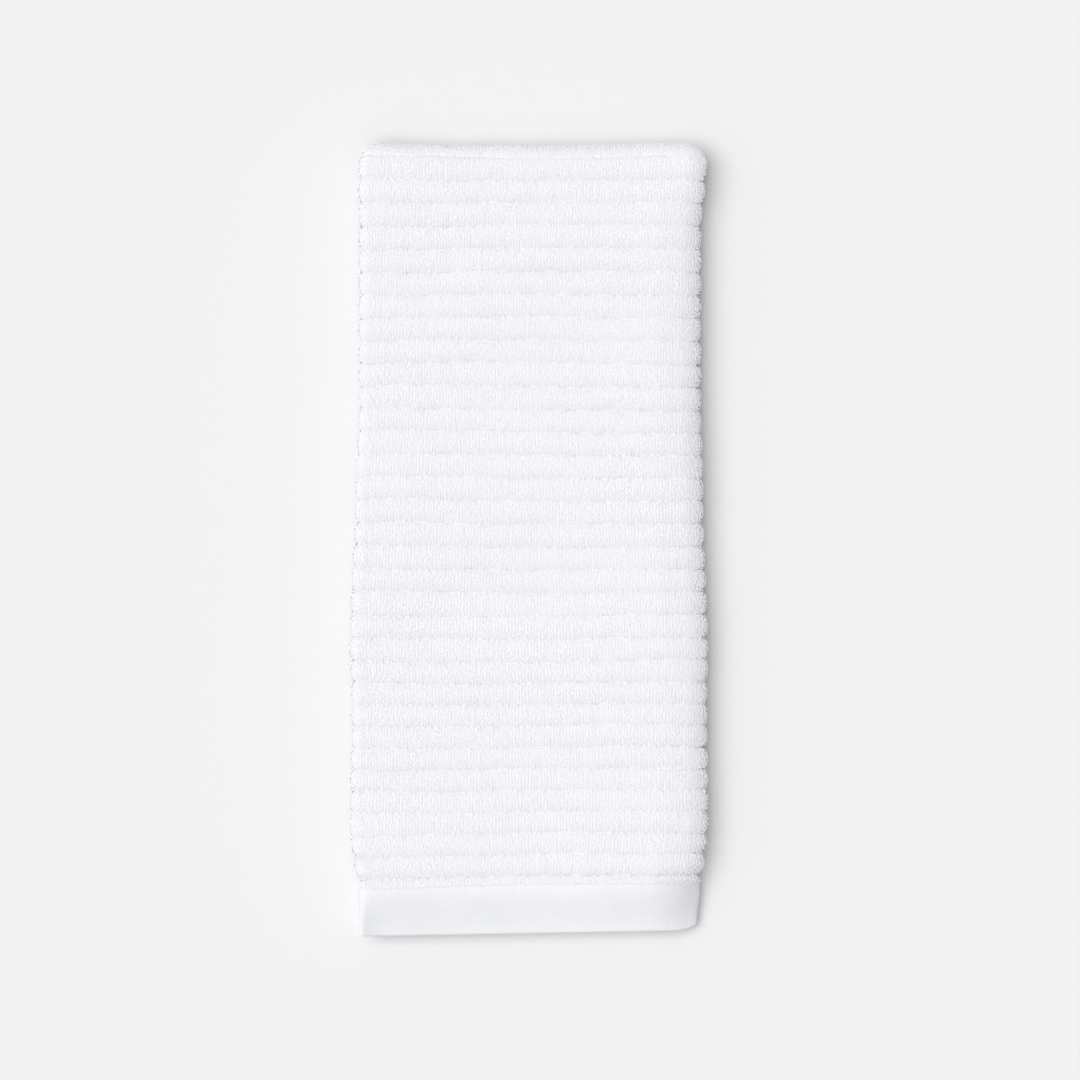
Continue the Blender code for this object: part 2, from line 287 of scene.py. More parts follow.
def lattice_noise(x, y, seed):
    """Smooth noise from -1 to 1, one random value at each whole x and y."""
    size = 128
    table = np.random.default_rng(seed).uniform(-1, 1, (size, size))
    x, y = np.broadcast_arrays(np.asarray(x, float), np.asarray(y, float))
    column, row = np.floor(x).astype(int), np.floor(y).astype(int)
    share_x, share_y = smooth(x - column), smooth(y - row)

    def value(right, down):
        return table[(column + right) % size, (row + down) % size]

    upper = mix(value(0, 0), value(1, 0), share_x)
    lower = mix(value(0, 1), value(1, 1), share_x)
    return mix(upper, lower, share_y)


def run_of(along):
    """Length of flat cloth between the cross fold's curve and a row."""
    return np.maximum(np.abs(along) - QUARTER_TURN, 0.0)


def from_fold_of(along):
    """Distance of a row from the outer edge of the cross fold, seen from above."""
    turn = np.clip(along / FOLD_NEUTRAL, -math.pi / 2, math.pi / 2)
    return FOLD_RADIUS * (1 - np.cos(turn)) + run_of(along)


def edges_at(along):
    """Left and right edges of the folded towel at a row."""
    rows = np.array(OUTLINE)
    from_fold = np.clip(from_fold_of(along), rows[0, 0], rows[-1, 0])
    place_in = np.clip(np.searchsorted(rows[:, 0], from_fold) - 1, 0, len(rows) - 2)
    near, far = rows[place_in], rows[place_in + 1]
    share = smooth((from_fold - near[..., 0]) / (far[..., 0] - near[..., 0]))
    inset = np.where(along < 0, LOWER_INSET, 0.0)
    left = mix(near[..., 1], far[..., 1], share) + inset
    right = mix(near[..., 2], far[..., 2], share) - inset
    return left, right


def terry_share(along):
    """Share of the full terry height, which falls to the hem's over the woven band."""
    return smooth((UPPER_LENGTH - from_fold_of(along)) / BAND_DEPTH)


def layer_heights(along):
    """Distances of the three layers from the middle plane, inner flap first."""
    share = terry_share(along)
    first = mix(HEM_FIRST_LAYER, TERRY_FIRST_LAYER, share)
    step = mix(HEM_LAYER_STEP, TERRY_LAYER_STEP, share)
    return first, first + step, first + 2 * step


def middle_height(along):
    """Height of the plane between the halves above the floor."""
    lowest = mix(BAND_THICKNESS, TERRY_THICKNESS, terry_share(along)) / 2
    return lowest + layer_heights(along)[2]


def is_terry(along):
    """1 on the ribbed terry and 0 on the woven bands, with a short step between them."""
    upper = smooth((UPPER_TERRY_END + 0.4 - along) / 0.9)
    lower = smooth((along - LOWER_TERRY_END + 0.4) / 0.9)
    return upper * lower


def uneven_sum(x, number, table):
    """Sum of a table's uneven waves over x, different from rib to rib."""
    return sum(row.height * lattice_noise(x / row.length, number * row.number_scale, row.seed)
               for row in table)


def groove_wander(x, number):
    """How far the grooves stray along the towel, as a share of a rib; less beside the bands."""
    from_bands = np.minimum(LAST_GROOVES[1] - number, number - LAST_GROOVES[0])
    grown = mix(BAND_WANDER, 1.0, smooth(from_bands / WANDER_GROWS_OVER))
    return uneven_sum(x, number, GROOVE_WANDERS) / RIB_PITCH * grown


def rib_number(x, along):
    """Running number of the rib at a point; whole numbers are grooves."""
    grooves = np.array(GROOVES)
    number = np.interp(along, grooves[:, 0], grooves[:, 1])
    return number + groove_wander(x, number)


def along_of_rib(x, number, share):
    """Where a rib number lies at x, with the given share of the grooves' wander."""
    grooves = np.array(GROOVES)
    steady = np.broadcast_to(number, np.broadcast(x, number).shape)
    for _ in range(4):
        steady = number - share * groove_wander(x, steady)
    return np.interp(steady, grooves[:, 1], grooves[:, 0])


def rib_height(x, along):
    """Height of the rib from 0 in a groove to 1 on its broad crest."""
    phase = rib_number(x, along) % 1.0
    before = np.clip(1 - phase / RIB_CREST, 0, 1)
    after = np.clip((phase - RIB_CREST) / (1 - RIB_CREST), 0, 1)
    down = np.where(phase < RIB_CREST, before, after)
    return 1 - RIB_ROUND * down**ROUND_POWER - (1 - RIB_ROUND) * down**NARROW_POWER


def groove_share(x, along):
    """How deep each stretch of groove is: uneven, flatter on the cross fold, deepest by the bands."""
    number = rib_number(x, along)
    tight = mix(FOLD_GROOVE_DEPTH, 1.0, smooth(np.abs(along) / FOLD_GROOVE_FADE))
    last = sum(np.exp(-(((number - groove) / LAST_GROOVE_WIDTH) ** 2)) for groove in LAST_GROOVES)
    return tight * (1 + uneven_sum(x, number, GROOVE_DEPTHS) + LAST_GROOVE_EXTRA * last)


def crease_height(x, along):
    """Sum of the listed soft troughs and ridges."""
    total = np.zeros(np.broadcast(x, along).shape)
    for crease in CREASES:
        turn = math.radians(crease.turn)
        dx, dy = x - crease.x, along - crease.along
        down = (dx * math.cos(turn) + dy * math.sin(turn)) / crease.half_length
        over = (dy * math.cos(turn) - dx * math.sin(turn)) / crease.half_width
        total = total + crease.height * np.exp(-(down**2) - over**2)
    return total


def loose_lift(x, along):
    """How far the upper half rises off the lower one, as it lies a little uneven."""
    run = run_of(along)
    across, down = LIFT_WAVE
    wave = np.sin(2 * math.pi * x / across + 0.7) * np.sin(2 * math.pi * run / down + 0.4)
    return LOOSE_LIFT * (0.5 + 0.5 * wave) * smooth(run / SWELL_FADE)


def nearness(distance, width, power):
    """1 at an edge and past it, falling to 0 at a width in from it."""
    return np.clip(1 - distance / width, 0.0, 1.0) ** power


def settled(x, along):
    """Share of the stack's height that is left near its edges, where the cloth lies down."""
    from_fold = from_fold_of(along)
    left, right = edges_at(along)
    hem = smooth((from_fold - SETTLE_FROM) / SETTLE_OVER)
    width = mix(RIGHT_TERRY_SETTLE.width, RIGHT_BAND_SETTLE.width, hem)
    share = mix(RIGHT_TERRY_SETTLE.share, RIGHT_BAND_SETTLE.share, hem)
    at_right = nearness(right - x, width, SETTLE_POWER)
    at_left = hem * nearness(x - left, LEFT_RIM_KEPT, SETTLE_POWER)
    at_hem = nearness(UPPER_LENGTH - from_fold, HEM_SETTLE.width, SETTLE_POWER)
    in_front = HEM_SETTLE.share * at_hem * (1 - at_right) * (1 - at_left)
    return 1 - smooth(run_of(along) / SWELL_FADE) * (share * at_right + in_front)


def corner_rise(x, along):
    """How far the hem draws back at its two rounded corners."""
    from_fold = from_fold_of(along)
    left, right = edges_at(along)
    at_hem = smooth(1 - (UPPER_LENGTH - from_fold) / CORNER_DEPTH)
    at_left = nearness(x - left, LEFT_CORNER.reach, CORNER_POWER)
    at_right = nearness(right - x, RIGHT_CORNER.reach, CORNER_POWER)
    return at_hem * (LEFT_CORNER.rise * at_left + RIGHT_CORNER.rise * at_right)


def place(x, n, along):
    """Put section points in space, around the cross fold or flat on either side of it."""
    x, n, along = np.broadcast_arrays(x, n, along)
    run = run_of(along)
    turn = np.clip(along / FOLD_NEUTRAL, -math.pi / 2, math.pi / 2)
    n = n + np.where(along > 0, loose_lift(x, along), 0.0)
    y = n * np.cos(turn) - run
    z = (middle_height(along) + n * np.sin(turn)) * settled(x, along)
    for swell in FOLD_SWELLS:
        near = np.exp(-(((x - swell.x) / swell.width) ** 2))
        y = y + swell.height * near * (1 - smooth(run / SWELL_FADE))
    slant = smooth((from_fold_of(along) - SLANT_FROM) / (UPPER_LENGTH - SLANT_FROM))
    y = y + HEM_SLANT * x * slant
    y = y + corner_rise(x, along)
    wander = ROW_WANDER * np.sin(x / 31 + along / 47)
    y = y + wander * smooth(run / SWELL_FADE) * terry_share(along)
    return np.stack([x, y, z], axis=-1)


def half_ellipse(reach, height):
    """Angles from -90 to 90 degrees and the length of the curve up to each one."""
    angles = np.linspace(-math.pi / 2, math.pi / 2, ARC_STEPS)
    points = np.stack([reach * np.cos(angles), height * np.sin(angles)], axis=-1)
    steps = np.linalg.norm(np.diff(points, axis=0), axis=1)
    return angles, np.concatenate([[0.0], np.cumsum(steps)])


RIGHT_ARC = half_ellipse(TERRY_REACH.right, TERRY_LAYER_STEP + TERRY_THICKNESS / 2)
LEFT_ARC = half_ellipse(TERRY_REACH.left, (TERRY_LAYER_STEP + TERRY_THICKNESS) / 2)
RIGHT_ARC_LENGTH = RIGHT_ARC[1][-1]
LEFT_ARC_LENGTH = LEFT_ARC[1][-1]
FACE_WIDTH = 151.0
ACROSS_LENGTH = RIGHT_ARC_LENGTH + FACE_WIDTH + LEFT_ARC_LENGTH
PILE_RANGE = (PILE_FROM_RIGHT, ACROSS_LENGTH - PILE_FROM_LEFT)
# The two flaps beside the outer face, laid flat for the weave
FLAT_FLAP = 150.0
FLAT_GAP = 2.0


def fold_sizes(along):
    """The side folds' centres, reaches and half heights at a row."""
    inner, middle, outer = layer_heights(along)
    left, right = edges_at(along)
    hem = 1 - terry_share(along)
    left_reach = mix(TERRY_REACH.left, HEM_REACH.left, hem)
    right_reach = mix(TERRY_REACH.right, HEM_REACH.right, hem)
    half = mix(BAND_THICKNESS, TERRY_THICKNESS, is_terry(along)) / 2
    return {
        "left": left,
        "right": right,
        "turn_in": right - right_reach,
        "turn_out": left + left_reach,
        "left_reach": left_reach,
        "right_reach": right_reach,
        "right_sag": FOLD_SAG.right * smooth(along / SWELL_FADE),
        "left_sag": FOLD_SAG.left * smooth(along / SWELL_FADE),
        "right_middle": (outer + inner) / 2,
        "right_height": (outer - inner) / 2,
        "left_middle": (outer + middle) / 2,
        "left_height": (outer - middle) / 2,
        "inner": inner,
        "middle": middle,
        "outer": outer,
        "half": half,
    }


def curve_height(middle, half_height, sag, angle):
    """Height on a side fold's curve, whose widest point sags below its middle."""
    sag = np.minimum(sag, half_height - LEAST_RISE)
    reach = np.where(angle > 0, half_height + sag, half_height - sag)
    return middle - sag + reach * np.sin(angle)


def outer_section(across, along, inset):
    """Section points (x, n) on the outer face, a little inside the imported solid's face."""
    across, along, inset = np.broadcast_arrays(across, along, inset)
    fold = fold_sizes(along)
    out = fold["half"] - inset
    right_angle = np.interp(across, RIGHT_ARC[1], RIGHT_ARC[0])
    on_left = ACROSS_LENGTH - across
    left_angle = np.interp(on_left, LEFT_ARC[1], LEFT_ARC[0])
    share = np.clip((across - RIGHT_ARC_LENGTH) / FACE_WIDTH, 0, 1)
    face_x = mix(fold["turn_in"], fold["turn_out"], share)
    face_n = fold["outer"] + out
    right_x = fold["turn_in"] + (fold["right_reach"] - inset) * np.cos(right_angle)
    right_n = curve_height(
        fold["right_middle"], fold["right_height"] + out, fold["right_sag"], right_angle)
    left_x = fold["turn_out"] - (fold["left_reach"] - inset) * np.cos(left_angle)
    left_n = curve_height(
        fold["left_middle"], fold["left_height"] + out, fold["left_sag"], left_angle)
    on_right = across < RIGHT_ARC_LENGTH
    past_face = across > RIGHT_ARC_LENGTH + FACE_WIDTH
    x = np.where(on_right, right_x, np.where(past_face, left_x, face_x))
    n = np.where(on_right, right_n, np.where(past_face, left_n, face_n))
    return x, n


def shows(across):
    """1 where the outer face looks out, falling to 0 at the feet of the side folds."""
    return smooth(across / 9) * smooth((ACROSS_LENGTH - across) / 4.5)


def outer_surface(across, along, pile, groove_depth):
    """Points on the terry ground or the band, in the solid's own place in millimetres."""
    x, _ = outer_section(across, along, 0.0)
    open_share = shows(across)
    at_right = smooth(1 - across / RIGHT_ARC_LENGTH)
    at_left = smooth(1 - (ACROSS_LENGTH - across) / LEFT_ARC_LENGTH)
    side = 1 + SIDE_NOTCH.right * at_right + SIDE_NOTCH.left * at_left
    groove = groove_depth * side * groove_share(x, along) * (1 - rib_height(x, along))
    sunk = mix(1.0, PILE_SUNK, smooth(along / SWELL_FADE + 0.5))
    inset = is_terry(along) * (pile * sunk + groove) * open_share
    crease = crease_height(x, along) * smooth(along / SWELL_FADE) * open_share
    x, n = outer_section(across, along, inset)
    return place(x, n + crease, along)


def seat_of_towel():
    """Shift that puts the section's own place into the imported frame."""
    along = np.linspace(LOWER_HEM, UPPER_HEM, 3001)[:, None]
    across = np.linspace(0, ACROSS_LENGTH, 121)[None, :]
    points = place(*outer_section(across, along, 0.0), along).reshape(-1, 3)
    own_middle = (points.min(axis=0) + points.max(axis=0)) / 2
    low, high = np.array(towel_box[0]), np.array(towel_box[1])
    middle = (low + high) / 2 / MM
    return np.array([middle[0] - own_middle[0], middle[1] - own_middle[1], low[2] / MM])


def make_mesh(name, points, faces, face_materials=None, uv=None):
    """Make a mesh object from millimetre points and four-sided faces."""
    mesh = bpy.data.meshes.new(name)
    mesh.vertices.add(len(points))
    mesh.vertices.foreach_set("co", (points * MM).astype(np.float32).ravel())
    mesh.loops.add(faces.size)
    mesh.loops.foreach_set("vertex_index", faces.astype(np.int32).ravel())
    mesh.polygons.add(len(faces))
    mesh.polygons.foreach_set("loop_start", np.arange(0, faces.size, 4, dtype=np.int32))
    if face_materials is not None:
        mesh.polygons.foreach_set("material_index", face_materials.astype(np.int32))
    if uv is not None:
        layer = mesh.uv_layers.new(name="cloth")
        layer.data.foreach_set("uv", (uv[faces.ravel()] * MM).astype(np.float32).ravel())
    mesh.update(calc_edges=True)
    mesh.validate()
    mesh.shade_smooth()
    obj = bpy.data.objects.new(name, mesh)
    bpy.context.scene.collection.objects.link(obj)
    return obj


def finish_piece(obj, *materials):
    """Give a piece its materials and its body."""
    for material in materials:
        obj.data.materials.append(material)
    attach(obj, BODY)


def rounded_tip(distance, radius):
    """Share of the half thickness near a free edge, which is rounded."""
    share = np.clip(distance / radius, 0, 1)
    return np.maximum(np.sqrt(1 - (1 - share) ** 2), THINNEST_TIP)


def cloth_rows():
    """Rows of the ground cloth: rib numbers on the terry, and places along it past the last groove."""
    first, last = LAST_GROOVES
    upper = np.arange(LOWER_RIBS_END, last)[:, None] + np.array(UPPER_ROWS)
    lower = np.arange(first, LOWER_RIBS_END)[:, None] + np.array(LOWER_ROWS)
    ribs = np.sort(np.concatenate([lower.ravel(), upper.ravel(), [last]]))
    strip, steps, tips = np.array(STRIP_ROWS), np.array(BAND_EDGE_ROWS), np.array(HEM_ROWS)
    upper_end = [GROOVES[-2].along + strip, UPPER_TERRY_END + steps, UPPER_HEM - tips]
    lower_end = [GROOVES[1].along - strip, LOWER_TERRY_END - steps, LOWER_HEM + tips]
    return np.unique(np.concatenate(lower_end)), ribs, np.unique(np.concatenate(upper_end))


def outer_columns():
    """Columns of the ground cloth over the outer face, closer on the side folds."""
    return np.concatenate([
        np.linspace(0.0, RIGHT_ARC_LENGTH, 18),
        np.linspace(RIGHT_ARC_LENGTH, RIGHT_ARC_LENGTH + FACE_WIDTH, 24)[1:-1],
        np.linspace(RIGHT_ARC_LENGTH + FACE_WIDTH, ACROSS_LENGTH, 13),
    ])[None, :]


def flap_faces(x, from_edge, height, half, hem_tip):
    """Terry side and hidden side of a flap that ends in a rounded free edge, as (x, n) points."""
    half = half * FLAP_FULLNESS * np.minimum(rounded_tip(from_edge, FLAP_TIP_RADIUS), hem_tip)
    return np.stack([x, height - half], axis=-1), np.stack([x, height + half], axis=-1)


def hidden_sections(along, across):
    """Both faces of the inner and the middle flap at each row, the face's back and the hem's inset."""
    fold = fold_sizes(along)
    wave = FLAP_WAVE * np.sin(2 * math.pi * along / FLAP_WAVE_LENGTH)
    tip, shares = np.array(TIP_COLUMNS), np.array(FLAT_COLUMNS)
    hem_tip = rounded_tip(np.minimum(UPPER_HEM - along, along - LOWER_HEM), HEM_TIP_RADIUS)

    inner_edge = fold["left"] + INNER_FLAP_SHORT + wave
    x = np.concatenate([inner_edge + tip, mix(inner_edge, fold["turn_in"], shares)], axis=1)
    inner_flap = flap_faces(x, x - inner_edge, fold["inner"], fold["half"], hem_tip)

    middle_edge = fold["right"] - MIDDLE_FLAP_SHORT + wave
    x = np.concatenate([mix(fold["turn_out"], middle_edge, shares), middle_edge - tip[::-1]], axis=1)
    middle_flap = flap_faces(x, middle_edge - x, fold["middle"], fold["half"], hem_tip)

    back = np.stack(outer_section(across, along, 2 * fold["half"] * FACE_FULLNESS), axis=-1)
    return inner_flap, back, middle_flap, fold["half"] * (1 - hem_tip)


def grid_faces(rows, columns):
    """Four-sided faces of a grid of points whose last column joins its first."""
    row = np.arange(rows - 1)[:, None]
    column = np.arange(columns)[None, :]
    after = (column + 1) % columns
    corners = [row * columns + column, row * columns + after,
               (row + 1) * columns + after, (row + 1) * columns + column]
    return np.stack([np.broadcast_to(c, (rows - 1, column.size)) for c in corners], -1).reshape(-1, 4)


def place_section(section, along):
    """Put (x, n) points of each row in space."""
    return place(section[..., 0], section[..., 1], along)


def flat_columns(before, ribbed, after):
    """Where each column of the section lies across the cloth laid flat, in millimetres."""
    return np.concatenate([
        np.linspace(-FLAT_FLAP, -FLAT_GAP, before),
        ribbed,
        ACROSS_LENGTH + np.linspace(FLAT_GAP, FLAT_FLAP, after),
    ])


def cloth_faces(rows, columns, along):
    """Four-sided faces of the closed sheet with its two hems, and the material of each face."""
    station = np.arange(columns // 2 - 1)
    cap = np.stack([station, columns - 1 - station, columns - 2 - station, station + 1], axis=-1)
    last_cap = (rows - 1) * columns + cap[:, ::-1]
    faces = np.concatenate([grid_faces(rows, columns), cap, last_cap])
    band = (is_terry((along[:-1, 0] + along[1:, 0]) / 2) < 0.5).astype(int)
    return faces, np.concatenate([np.repeat(band, columns), np.ones(2 * len(cap), int)])


def build_cloth(settings, seat):
    """The whole sheet: terry ground, woven bands, hems and selvedges, in one closed mesh."""
    lower_end, ribs, upper_end = cloth_rows()
    across = outer_columns()
    along = np.concatenate([lower_end, along_of_rib(0.0, ribs, 0.0), upper_end])[:, None]
    inner_flap, back, middle_flap, hem_inset = hidden_sections(along, across)

    x, _ = outer_section(across, along, 0.0)
    ribbed = slice(len(lower_end), len(lower_end) + len(ribs))
    face_along = np.broadcast_to(along, x.shape).copy()
    face_along[ribbed] = along_of_rib(x[ribbed], ribs[:, None], shows(across))
    face = outer_surface(across, face_along, settings.pile_height / MM, settings.rib_depth / MM)
    turn = np.clip(along / FOLD_NEUTRAL, -math.pi / 2, math.pi / 2)
    drop = hem_inset[..., None] * np.stack([np.zeros(turn.shape), np.cos(turn), np.sin(turn)], axis=-1)
    back[..., 1] += crease_height(back[..., 0], along) * smooth(along / SWELL_FADE) * shows(across)

    outside = [place_section(inner_flap[0], along), face - drop, place_section(middle_flap[0], along)]
    inside = [place_section(inner_flap[1], along), place_section(back, along) + drop,
              place_section(middle_flap[1], along)]
    points = np.concatenate(outside + [part[:, ::-1] for part in reversed(inside)], axis=1)
    rows, columns = points.shape[:2]
    faces, materials = cloth_faces(rows, columns, along)

    flat_x = flat_columns(inner_flap[0].shape[1], across[0], middle_flap[0].shape[1])
    flat_x = np.broadcast_to(np.concatenate([flat_x, flat_x[::-1]]), (rows, columns))
    uv = np.stack([flat_x, np.broadcast_to(along, flat_x.shape)], axis=-1).reshape(-1, 2)
    return make_mesh("towel_cloth", points.reshape(-1, 3) + seat, faces, materials, uv)


def pile_roots(across, along, settings, seat, seed):
    """Place, frame and height of each pile loop on the outer face."""
    rng = np.random.default_rng(seed)
    pile, groove = settings.pile_height / MM, settings.rib_depth / MM
    step = 0.25
    here = outer_surface(across, along, pile, groove)
    down = outer_surface(across, along + step, pile, groove) - here
    over = outer_surface(across + step, along, pile, groove) - here
    out = np.cross(over, down)
    lengths = np.linalg.norm(out, axis=-1, keepdims=True)
    out = out / np.maximum(lengths, 1e-9)
    down = down / np.maximum(np.linalg.norm(down, axis=-1, keepdims=True), 1e-9)
    height = pile * rng.uniform(*HEIGHT_SPREAD, across.shape)
    return here + seat, out, down, height, rng


def pile_loops(name, across, along, settings, seat, seed):
    """Small loops of pile yarn, each a roof-shaped strip that arches over its two feet, as one mesh."""
    root, out, down, height, rng = pile_roots(across, along, settings, seat, seed)
    count = len(root)
    turn = rng.normal(0.0, LOOP_TURN, count)[:, None]
    side = np.cross(out, down)
    lengthwise = down * np.cos(turn) + side * np.sin(turn)
    sideways = np.cross(out, lengthwise)
    lean = rng.normal(*LOOP_LEAN, count)[:, None]
    tilt = rng.normal(0.0, LOOP_TILT, count)[:, None]
    yarn = (settings.yarn_radius / MM * rng.uniform(*YARN_SPREAD, count))[:, None]
    foot = (settings.loop_length / MM / 2 * rng.uniform(*FOOT_SPREAD, count))[:, None]
    top = np.maximum(height[:, None] - 0.5 * yarn, LEAST_LOOP_TOP)

    lifted = LIFTED_NORMAL * np.sqrt(1 - out[:, 2:] ** 2) * np.array([0.0, 0.0, 1.0])
    rings, normals = [], []
    for point in LOOP_PATH:
        rise = point.up * top
        centre = root + lengthwise * (point.forward * foot) + out * rise
        centre = centre + (down * lean + side * tilt) * np.maximum(rise, 0)
        normal = out * math.cos(point.slope) + lengthwise * math.sin(point.slope)
        low = centre - normal * (0.5 * yarn)
        rings += [low - sideways * yarn, centre + normal * (0.5 * yarn), low + sideways * yarn]
        soft = out + SOFT_NORMAL * (normal - out) + lifted
        normals += [soft - SOFT_NORMAL * sideways, soft, soft + SOFT_NORMAL * sideways]
    points = np.stack(rings, axis=1)
    per_loop = points.shape[1]
    pattern = []
    for ring in range(0, per_loop - 3, 3):
        pattern += [(ring, ring + 3, ring + 4, ring + 1), (ring + 1, ring + 4, ring + 5, ring + 2)]
    faces = (np.arange(count)[:, None, None] * per_loop + np.array(pattern)[None]).reshape(-1, 4)
    points = points.reshape(-1, 3)
    points[:, 2] = np.maximum(points[:, 2], LEAST_HEIGHT)
    pile = make_mesh(name, points, faces)
    normals = np.stack(normals, axis=1).reshape(-1, 3)
    normals /= np.linalg.norm(normals, axis=1, keepdims=True)
    pile.data.normals_split_custom_set_from_vertices(normals.tolist())
    return pile


def outside_grooves(across, along):
    """Whether a loop stands on a rib, and not in the bare line between two ribs."""
    x, _ = outer_section(across, along, 0.0)
    phase = rib_number(x, along) % 1.0
    bare = BARE_GROOVE * groove_share(x, along)
    return (phase > 0.5 * bare) & (phase < 1 - 0.5 * bare)


def loop_grid(across_range, along_range, across_step, along_step, seed):
    """Roots of the pile loops: warp lines of loops down the cloth, each a little out of line."""
    rng = np.random.default_rng(seed)
    across = np.arange(*across_range, across_step)
    along = np.arange(*along_range, along_step)
    across, along = np.meshgrid(across, along)
    along = along + (np.arange(across.shape[1])[None, :] % 2) * along_step / 2
    across = across + rng.normal(0, OFF_LINE, across.shape) * across_step
    along = along + rng.normal(0, OFF_STEP, across.shape) * along_step
    inside = (along > along_range[0]) & (along < along_range[1] + along_step / 2)
    inside &= (across > across_range[0]) & (across < across_range[1])
    across, along = across[inside], along[inside]
    standing = outside_grooves(across, along)
    return across[standing], along[standing]


def new_group(name, inputs, outputs):
    """Start a shader node group with named sockets, and return its tree and end nodes."""
    tree = bpy.data.node_groups.new(name, "ShaderNodeTree")
    for socket_name, kind, default in inputs:
        socket = tree.interface.new_socket(name=socket_name, in_out="INPUT", socket_type=kind)
        if default is not None:
            socket.default_value = default
    for socket_name, kind in outputs:
        tree.interface.new_socket(name=socket_name, in_out="OUTPUT", socket_type=kind)
    return tree, tree.nodes.new("NodeGroupInput"), tree.nodes.new("NodeGroupOutput")


def math_node(tree, operation, first, second=None):
    """A Math node fed by sockets or numbers."""
    node = tree.nodes.new("ShaderNodeMath")
    node.operation = operation
    for socket, value in zip(node.inputs, (first, second)):
        if value is None:
            continue
        if isinstance(value, bpy.types.NodeSocket):
            tree.links.new(value, socket)
        else:
            socket.default_value = value
    return node.outputs[0]


def noise_node(tree, vector, scale, detail, roughness=0.55):
    """A Noise Texture node on a vector."""
    node = tree.nodes.new("ShaderNodeTexNoise")
    node.inputs["Detail"].default_value = detail
    node.inputs["Roughness"].default_value = roughness
    if isinstance(scale, bpy.types.NodeSocket):
        tree.links.new(scale, node.inputs["Scale"])
    else:
        node.inputs["Scale"].default_value = scale
    tree.links.new(vector, node.inputs["Vector"])
    return node.outputs["Fac"]


def fibre_group():
    """Cotton fibres: a fine tangled height and a tone that varies from yarn to yarn."""
    tree, start, end = new_group(
        "cotton fibres",
        (("Vector", "NodeSocketVector", None), ("Fibre Scale", "NodeSocketFloat", 5200.0),
         ("Yarn Scale", "NodeSocketFloat", 620.0)),
        (("Height", "NodeSocketFloat"), ("Tone", "NodeSocketFloat")),
    )
    fine = noise_node(tree, start.outputs["Vector"], start.outputs["Fibre Scale"], 3.0, 0.7)
    yarn = noise_node(tree, start.outputs["Vector"], start.outputs["Yarn Scale"], 1.0)
    height = math_node(tree, "ADD", fine, math_node(tree, "MULTIPLY", yarn, 0.6))
    tree.links.new(height, end.inputs["Height"])
    tree.links.new(yarn, end.inputs["Tone"])
    return tree


def thread_noise(tree, vector, stretch):
    """Noise drawn out along the threads of one direction."""
    node = tree.nodes.new("ShaderNodeMapping")
    node.inputs["Scale"].default_value = stretch
    tree.links.new(vector, node.inputs["Vector"])
    return noise_node(tree, node.outputs[0], 1.0, 2.0)


def weave_group():
    """Plain weave: threads over and under, with uneven thread thickness."""
    tree, start, end = new_group(
        "plain weave",
        (("Vector", "NodeSocketVector", None), ("Threads", "NodeSocketFloat", 1400.0),
         ("Unevenness", "NodeSocketFloat", 1.3)),
        (("Height", "NodeSocketFloat"), ("Slub", "NodeSocketFloat")),
    )
    split = tree.nodes.new("ShaderNodeSeparateXYZ")
    tree.links.new(start.outputs["Vector"], split.inputs[0])
    weft = thread_noise(tree, start.outputs["Vector"], WEFT_STRETCH)
    warp = thread_noise(tree, start.outputs["Vector"], WARP_STRETCH)
    waves = []
    for axis in ("X", "Y"):
        turn = math_node(tree, "MULTIPLY", split.outputs[axis], start.outputs["Threads"])
        waves.append(math_node(tree, "SINE", math_node(tree, "MULTIPLY", turn, math.pi)))
    over = math_node(tree, "MULTIPLY", waves[0], waves[1])
    slub = math_node(tree, "MULTIPLY", math_node(tree, "ADD", weft, warp), 0.5)
    uneven = math_node(tree, "MULTIPLY", slub, start.outputs["Unevenness"])
    height = math_node(tree, "ADD", math_node(tree, "MULTIPLY", over, OVER_UNDER_SHARE), uneven)
    tree.links.new(height, end.inputs["Height"])
    tree.links.new(slub, end.inputs["Slub"])
    return tree


def tone_group():
    """Slow change of tone over the cloth, from its light to its dark colour."""
    tree, start, end = new_group(
        "soft tone",
        (("Vector", "NodeSocketVector", None), ("Light", "NodeSocketColor", (1, 1, 1, 1)),
         ("Dark", "NodeSocketColor", (0.9, 0.9, 0.9, 1)), ("Detail Tone", "NodeSocketFloat", 0.5),
         ("Patch Scale", "NodeSocketFloat", 22.0)),
        (("Color", "NodeSocketColor"), ("Mask", "NodeSocketFloat")),
    )
    patch = noise_node(tree, start.outputs["Vector"], start.outputs["Patch Scale"], 2.0)
    both = math_node(tree, "ADD", math_node(tree, "MULTIPLY", patch, 0.5),
                     math_node(tree, "MULTIPLY", start.outputs["Detail Tone"], 0.5))
    spread = tree.nodes.new("ShaderNodeMapRange")
    spread.inputs["From Min"].default_value = 0.32
    spread.inputs["From Max"].default_value = 0.68
    tree.links.new(both, spread.inputs["Value"])
    blend = tree.nodes.new("ShaderNodeMix")
    blend.data_type = "RGBA"
    tree.links.new(spread.outputs["Result"], blend.inputs["Factor"])
    tree.links.new(start.outputs["Dark"], blend.inputs["A"])
    tree.links.new(start.outputs["Light"], blend.inputs["B"])
    tree.links.new(blend.outputs["Result"], end.inputs["Color"])
    tree.links.new(spread.outputs["Result"], end.inputs["Mask"])
    return tree


GROUP_MAKERS = {"cotton fibres": fibre_group, "plain weave": weave_group, "soft tone": tone_group}


def place_group(tree, name, values):
    """Put a shared effect in a material with its own values; the first to ask has it built."""
    node = tree.nodes.new("ShaderNodeGroup")
    node.node_tree = bpy.data.node_groups.get(name) or GROUP_MAKERS[name]()
    for socket_name, value in values.items():
        node.inputs[socket_name].default_value = value
    return node


